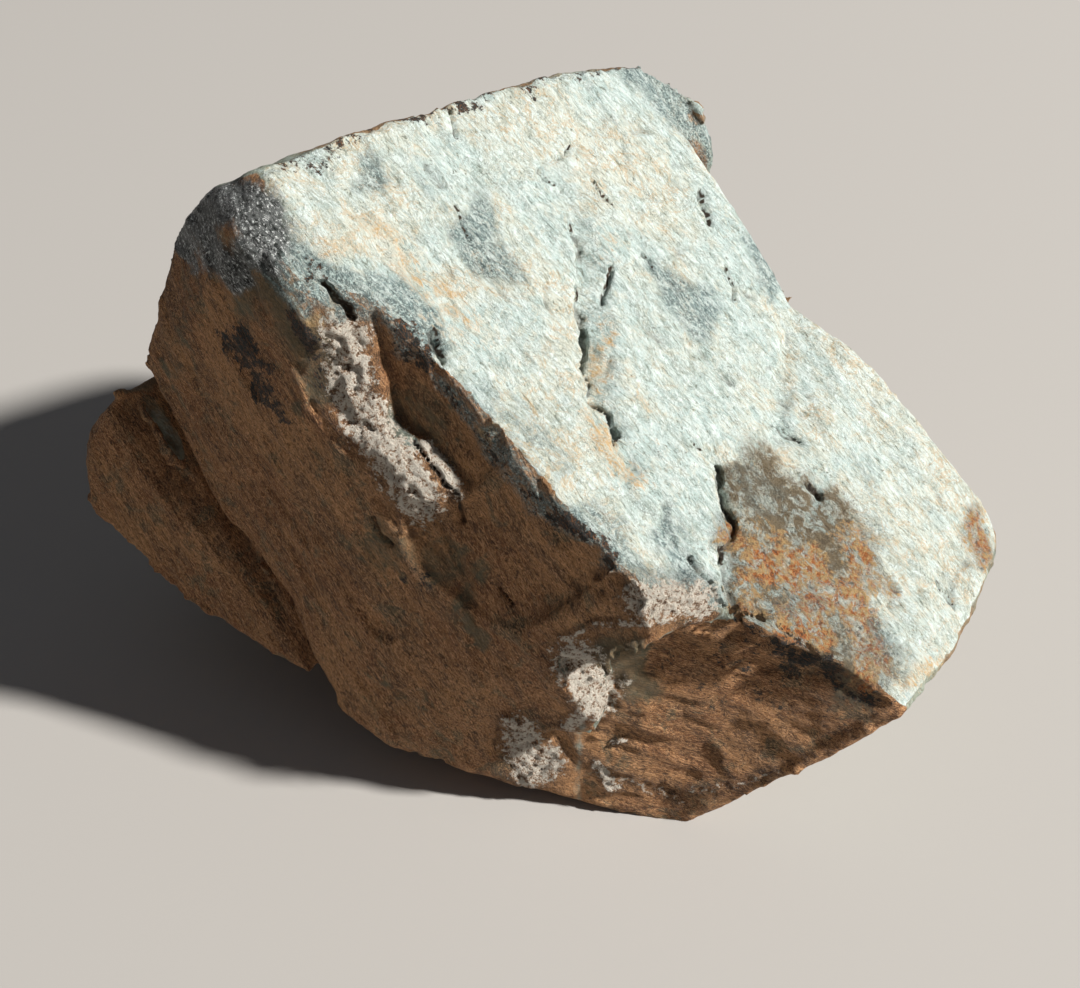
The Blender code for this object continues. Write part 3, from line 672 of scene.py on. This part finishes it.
shades = {
    "mint": (0.50, 0.62, 0.59), "cream": (0.66, 0.66, 0.545), "white": (0.76, 0.85, 0.815),
    "veinAndPaintedShade": (0.15, 0.17, 0.13), "sage": (0.22, 0.27, 0.225), "blueGrey": (0.18, 0.255, 0.25),
    "inkBlue": (0.045, 0.075, 0.08), "ochre": (0.60, 0.39, 0.17), "rust": (0.55, 0.16, 0.028),
    "umber": (0.22, 0.17, 0.10), "rind": (0.25, 0.10, 0.034), "thread": (0.72, 0.40, 0.19),
    "rindPale": (0.45, 0.225, 0.09), "rindDarkAndPaintedShade": (0.075, 0.035, 0.015), "moss": (0.11, 0.11, 0.065),
    "slate": (0.15, 0.16, 0.155), "blackAndPaintedShade": (0.016, 0.02, 0.018), "crumbWithPaintedLight": (0.95, 0.87, 0.74),
    "paintedShade": (0.055, 0.035, 0.02), "greyGreen": (0.34, 0.37, 0.29), "glint": (0.85, 0.88, 0.86),
}


class Nodes:
    def __init__(self, tree):
        self.tree = tree

    def add(self, kind, sockets=None, **settings):
        node = self.tree.nodes.new(kind)
        for key, value in settings.items():
            setattr(node, key, value)
        for key, value in (sockets or {}).items():
            if isinstance(value, bpy.types.NodeSocket):
                self.tree.links.new(value, node.inputs[key])
            else:
                node.inputs[key].default_value = value
        return node

    def mask(self, name):
        return self.add("ShaderNodeAttribute", attribute_name=name).outputs["Fac"]

    def grain(self, run, stretch):
        place = self.add("ShaderNodeTexCoord").outputs["Object"]
        return self.add("ShaderNodeMapping", {"Vector": place, "Rotation": turnTo(*grainRuns[run]),
                                              "Scale": (stretch, 1, 1)}, vector_type="TEXTURE").outputs["Vector"]

    def noise(self, vector, size, detail=3, roughness=0.6, distortion=0.0):
        return self.add("ShaderNodeTexNoise", {"Vector": vector, "Scale": 1 / (size * mm), "Detail": detail,
                                               "Roughness": roughness, "Distortion": distortion}).outputs["Fac"]

    def math(self, operation, first, second=0.5):
        return self.add("ShaderNodeMath", {0: first, 1: second}, operation=operation).outputs[0]

    def between(self, value, low, high, lowest=0.0, highest=1.0):
        return self.add("ShaderNodeMapRange", {"Value": value, "From Min": low, "From Max": high, "To Min": lowest,
                                               "To Max": highest}, interpolation_type="SMOOTHSTEP").outputs["Result"]

    def veins(self, noise, width):
        # thin lines where the noise passes its middle
        return self.between(self.math("ABSOLUTE", self.math("SUBTRACT", noise, 0.5)), width, 0)

    def blend(self, amount, first, second):
        return self.add("ShaderNodeMix", {"Factor": amount, 2: first, 3: second}).outputs[0]

    def mix(self, amount, first, second):
        def filled(colour):
            return colour if isinstance(colour, bpy.types.NodeSocket) else (*shades[colour], 1)
        return self.add("ShaderNodeMix", {"Factor": amount, 6: filled(first), 7: filled(second)},
                        data_type="RGBA").outputs[2]

    def ragged(self, name, noise, amount=0.9, low=0.35, high=0.75):
        # a mask laid on with an edge torn by noise, and nothing where the mask is empty; it lays stains and painted
        # light and shade alike
        mask = self.mask(name)
        torn = self.math("ADD", mask, self.math("MULTIPLY", self.math("SUBTRACT", noise, 0.5), amount))
        return self.math("MULTIPLY", self.between(torn, low, high), self.between(mask, 0.02, 0.2))


def paintStone(stone):
    material = bpy.data.materials.new("weathered nephrite")
    material.use_nodes = True
    tree = material.node_tree
    shader = tree.nodes["Principled BSDF"]
    n = Nodes(tree)
    flat, topGrain = n.grain("none", 1), n.grain("top", 2.6)
    frontGrain, noseGrain = n.grain("front", 4), n.grain("nose", 5)
    patch = n.noise(flat, 18, 5, 0.6, 0.6)
    blotch = n.noise(flat, 6, 6, 0.7, 0.5)
    speck = n.noise(flat, 1.3, 6, 0.75)
    grit = n.noise(flat, 0.5, 4, 0.8)
    stroke = n.noise(topGrain, 1.0, 6, 0.75, 0.8)
    fleck = n.noise(topGrain, 0.4, 4, 0.8)
    strand = n.blend(n.mask("nose"), n.noise(frontGrain, 0.8, 6, 0.75, 0.8), n.noise(noseGrain, 0.8, 6, 0.75, 0.8))
    fibre = n.blend(n.mask("nose"), n.noise(frontGrain, 0.45, 5, 0.8, 2.5), n.noise(noseGrain, 0.4, 5, 0.8, 2.0))

    # the pale sloping top
    pale = n.mix(n.between(patch, 0.42, 0.60, 0, 0.9), "mint", "cream")
    pale = n.mix(n.between(n.noise(flat, 2.6, 6, 0.7, 0.8), 0.48, 0.64, 0, 0.8), pale, "cream")
    pale = n.mix(n.between(n.noise(flat, 9, 6, 0.7, 0.8), 0.54, 0.68, 0, 0.45), pale, "sage")
    pale = n.mix(n.between(stroke, 0.44, 0.60, 0, 0.9), pale, "white")
    pale = n.mix(n.between(fleck, 0.55, 0.68, 0, 0.8), pale, "sage")
    # painted shade: dark strokes and specks laid where the bump's hollows lie
    pale = n.mix(n.between(stroke, 0.43, 0.34, 0, 0.9), pale, "veinAndPaintedShade")
    pale = n.mix(n.between(speck, 0.40, 0.32, 0, 0.9), pale, "veinAndPaintedShade")
    pale = n.mix(n.math("MULTIPLY", n.veins(n.noise(flat, 11, 6, 0.75, 1.0), 0.008), 0.7), pale, "veinAndPaintedShade")
    pale = n.mix(n.math("MULTIPLY", n.veins(blotch, 0.03), n.between(patch, 0.45, 0.6, 0.05, 0.6)), pale, "ochre")
    pale = n.mix(n.math("MULTIPLY", n.veins(n.noise(topGrain, 5, 6, 0.7, 1.2), 0.02), 0.6), pale, "sage")

    # the brown rind
    rind = n.mix(n.between(patch, 0.42, 0.58), "rind", "rindPale")
    rind = n.mix(n.between(n.noise(frontGrain, 5, 6, 0.7, 1.0), 0.50, 0.58, 0, 0.75), rind, "rindDarkAndPaintedShade")
    rind = n.mix(n.between(strand, 0.44, 0.60, 0, 0.6), rind, "rindPale")
    rind = n.mix(n.between(blotch, 0.53, 0.62, 0, 0.75), rind, "moss")
    rind = n.mix(n.between(fibre, 0.49, 0.42, 0, 0.95), rind, "rindDarkAndPaintedShade")
    rind = n.mix(n.between(fibre, 0.53, 0.58, 0, 0.9), rind, "thread")
    rind = n.mix(n.math("MULTIPLY", n.veins(n.noise(frontGrain, 4, 4, 0.7, 2.0), 0.012), 0.7), rind, "thread")
    rind = n.mix(n.between(speck, 0.43, 0.34, 0, 0.9), rind, "rindDarkAndPaintedShade")

    # the hidden sides: rind with grey-green breaks; the grey-green is made lighter as painted light, to lift these
    # sides out of shade
    broken = n.mix(n.between(stroke, 0.48, 0.60, 0, 0.6), "greyGreen", "mint")
    # painted shade in the fine pits of the breaks
    broken = n.mix(n.between(speck, 0.46, 0.38, 0, 0.8), broken, "veinAndPaintedShade")
    hidden = n.mix(n.between(n.noise(flat, 38, 6, 0.65, 0.5), 0.46, 0.56), n.mix(0.5, rind, "umber"), broken)
    seen = n.math("MAXIMUM", n.mask("front"), n.mask("nose"))
    body = n.mix(n.between(n.math("ADD", seen, n.math("MULTIPLY", n.math("SUBTRACT", blotch, 0.5), 0.8)), 0.3, 0.6),
                 hidden, rind)
    topEdge = n.math("ADD", n.mask("top"), n.math("MULTIPLY", n.math("SUBTRACT", blotch, 0.5), 0.9))
    body = n.mix(n.between(topEdge, 0.40, 0.56), body, pale)

    # stains, with painted shade and painted glints among them
    coarse = n.blend(0.5, stroke, blotch)
    torn = n.between(n.blend(0.5, stroke, grit), 0.42, 0.58, 0.15, 0.95)
    clast = n.noise(flat, 3, 6, 0.75, 0.6)
    cover = n.between(n.blend(0.3, clast, stroke), 0.43, 0.53, 0.08, 1.0)
    body = n.mix(n.math("MULTIPLY", n.ragged("umber", coarse, 1.6, 0.15, 0.5), cover), body, "umber")
    body = n.mix(n.math("MULTIPLY", n.ragged("green", blotch, 1.4), 0.7), body, "moss")
    body = n.mix(n.math("MULTIPLY", n.ragged("ochre", coarse, 2.6, 0.5, 0.85), torn), body, "ochre")
    rusty = n.mix(n.between(speck, 0.44, 0.54), "rust", "ochre")
    # painted shade: dark specks in the rust
    rusty = n.mix(n.between(speck, 0.40, 0.35, 0, 0.8), rusty, "rindDarkAndPaintedShade")
    body = n.mix(n.math("MULTIPLY", n.ragged("rust", n.blend(0.5, speck, blotch), 2.8, 0.35, 0.6), cover), body, rusty)
    # painted shade in the scar's pits and fine crevices
    scarred = n.between(n.math("ADD", n.mask("umber"), n.mask("rust")), 0.1, 0.6)
    paintedPitShade = n.math("MAXIMUM", n.veins(n.noise(flat, 2.6, 6, 0.75, 0.8), 0.022), n.between(speck, 0.44, 0.39))
    body = n.mix(n.math("MULTIPLY", n.math("MULTIPLY", paintedPitShade, scarred), 0.55), body, "paintedShade")
    # the crumbled places: pale grains as painted light where light falls, dark bits between them as painted shade
    shards = n.blend(0.55, speck, grit)
    crumbWithPaintedLight = n.mix(n.between(shards, 0.40, 0.47), "rindDarkAndPaintedShade", "rindPale")
    crumbWithPaintedLight = n.mix(n.between(shards, 0.43, 0.515), crumbWithPaintedLight, "crumbWithPaintedLight")
    body = n.mix(n.ragged("crumbWithPaintedLight", speck, 2.4, 0.5, 0.75), body, crumbWithPaintedLight)
    blue = n.mix(n.between(fleck, 0.43, 0.60), "inkBlue", "blueGrey")
    # painted glints: pale specks in the blue-black band
    blue = n.mix(n.between(grit, 0.52, 0.58, 0, 0.9), blue, "mint")
    body = n.mix(n.math("MULTIPLY", n.ragged("blue", coarse, 2.2), n.between(stroke, 0.6, 0.45, 0.3, 0.9)), body, blue)
    # black mottling, and painted shade where the black lines lie in shadow
    body = n.mix(n.ragged("blackAndPaintedShade", n.blend(0.5, speck, blotch), 5, 0.7, 0.9), body, n.mix(n.between(fibre, 0.52, 0.60), "blackAndPaintedShade", "rind"))
    charcoal = n.ragged("charcoal", coarse, 1.2)
    sooty = n.mix(n.between(n.blend(0.5, stroke, speck), 0.46, 0.54), "blackAndPaintedShade", "slate")
    # painted glints: pale specks on the dark nub
    body = n.mix(charcoal, body, n.mix(n.between(n.blend(0.5, grit, fleck), 0.53, 0.59), sooty, "glint"))
    # painted shade in the hollows
    body = n.mix(n.between(n.mask("paintedHollowShade"), 0.60, 0.80, 0, 0.5), body, "paintedShade")
    # painted shade along the cracks
    body = n.mix(n.between(n.math("ADD", n.mask("crack"), n.math("MULTIPLY", speck, 0.3)), 0.55, 0.8), body, "paintedShade")
    tree.links.new(body, shader.inputs["Base Color"])

    rough = n.math("SUBTRACT", n.between(fleck, 0.35, 0.65, 0.6, 0.92), n.math("MULTIPLY", charcoal, 0.45))
    tree.links.new(rough, shader.inputs["Roughness"])

    height = n.blend(n.mask("top"), strand, n.math("ADD", stroke, n.math("MULTIPLY", fleck, 0.6)))
    height = n.math("ADD", height, n.math("MULTIPLY", grit, n.between(n.mask("crumbWithPaintedLight"), 0, 0.6, 0.35, 1.6)))
    rugged = n.math("MAXIMUM", n.mask("crumbWithPaintedLight"), n.math("MULTIPLY", scarred, 0.4))
    height = n.math("ADD", height, n.math("MULTIPLY", speck, n.between(rugged, 0, 0.6, 0.7, 4)))
    bump = n.add("ShaderNodeBump", {"Strength": 1.0, "Distance": 0.7 * mm, "Height": height})
    tree.links.new(bump.outputs["Normal"], shader.inputs["Normal"])
    stone.data.materials.clear()
    stone.data.materials.append(material)


paintStone(stone)
print("finish")

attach(stone, "root")
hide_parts("jade_boulder")
